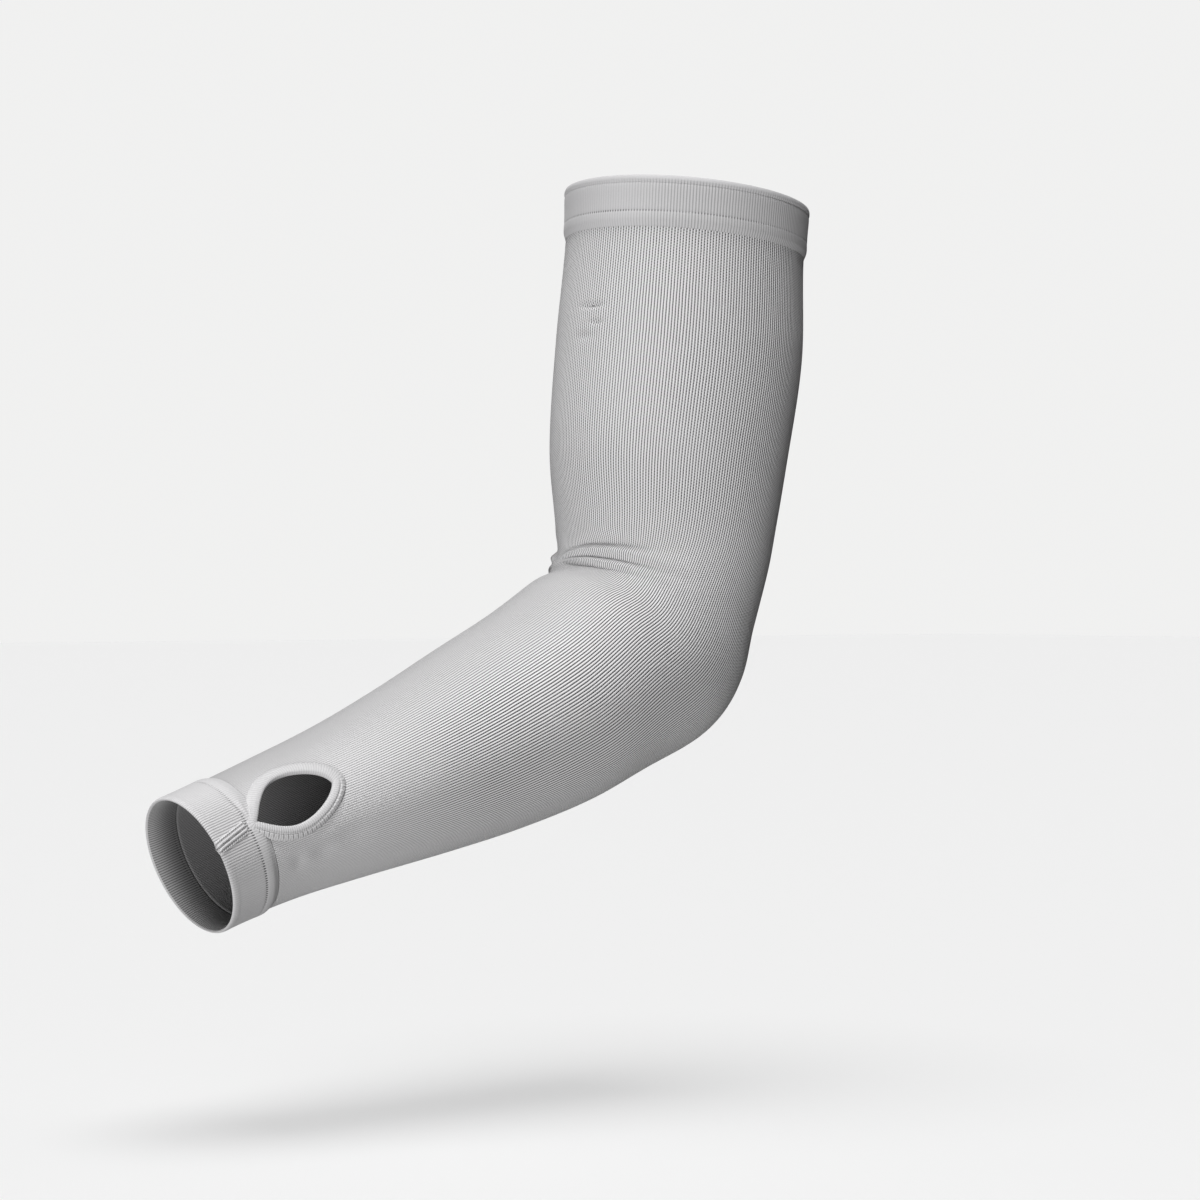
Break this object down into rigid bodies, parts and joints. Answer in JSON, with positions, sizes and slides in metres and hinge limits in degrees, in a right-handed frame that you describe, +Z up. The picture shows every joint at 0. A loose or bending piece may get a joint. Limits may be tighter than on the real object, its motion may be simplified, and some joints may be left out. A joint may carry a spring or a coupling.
{
  "type": "arm sleeve",
  "caption": "Knitted arm sleeve in the shape of a bent arm, with hem bands at the upper arm and wrist, folds inside the elbow and a bound thumb opening beside the wrist band.",
  "frame": {"origin": "centre of the upper-arm opening, in the plane of its rim", "axes": "+Z up along the upper arm, -X towards the hand, +X the elbow side, and the thumb opening on the -Y side. The arm bends in the XZ plane."},
  "size_m": [0.3084, 0.1062, 0.3045],
  "materials": {
    "knit": "matte ribbed knit",
    "band": "matte fine ribbed knit",
    "binding": "matte overlocked thread",
    "seam": "matte stitched knit"
  },
  "bodies": {
    "root": {"knit_tube": "knit", "upper_band": "band", "wrist_band": "band", "thumb_binding": "binding", "cuff_seam": "seam"}
  },
  "joints": []
}
